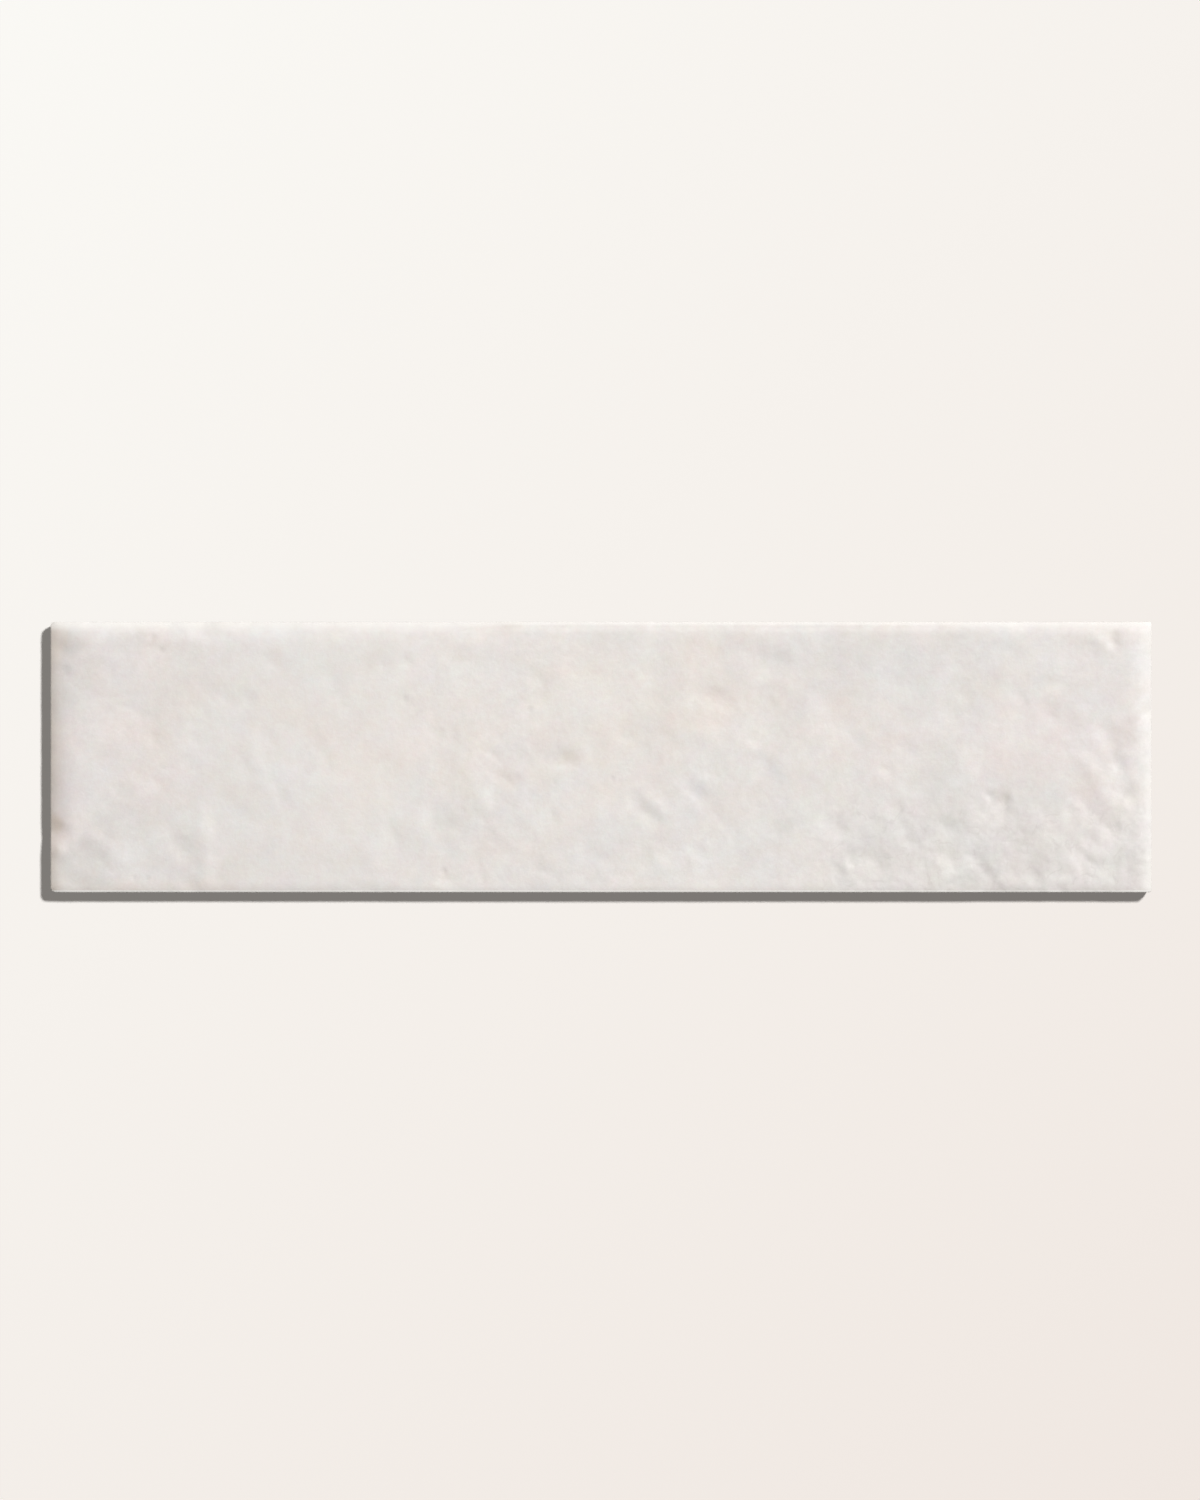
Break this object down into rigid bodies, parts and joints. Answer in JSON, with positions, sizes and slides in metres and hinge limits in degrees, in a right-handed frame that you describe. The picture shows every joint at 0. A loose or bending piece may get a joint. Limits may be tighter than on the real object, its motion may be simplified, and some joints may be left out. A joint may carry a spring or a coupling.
{
  "type": "porcelain parquet tile",
  "caption": "Long narrow glazed porcelain wall or floor tile with an uneven, hand-pressed looking face, rolled edges and a keyed back.",
  "frame": {"origin": "middle of the back, on the plane of the ribs that the tile is bedded on", "axes": "+X along the tile's length, +Y across its width, +Z out of the glazed face"},
  "size_m": [0.246, 0.0604, 0.009],
  "materials": {
    "glaze": "warm off-white satin glaze with faint pink and grey clouding over a pale fired body"
  },
  "bodies": {
    "root": {"tile": "glaze"}
  },
  "joints": []
}
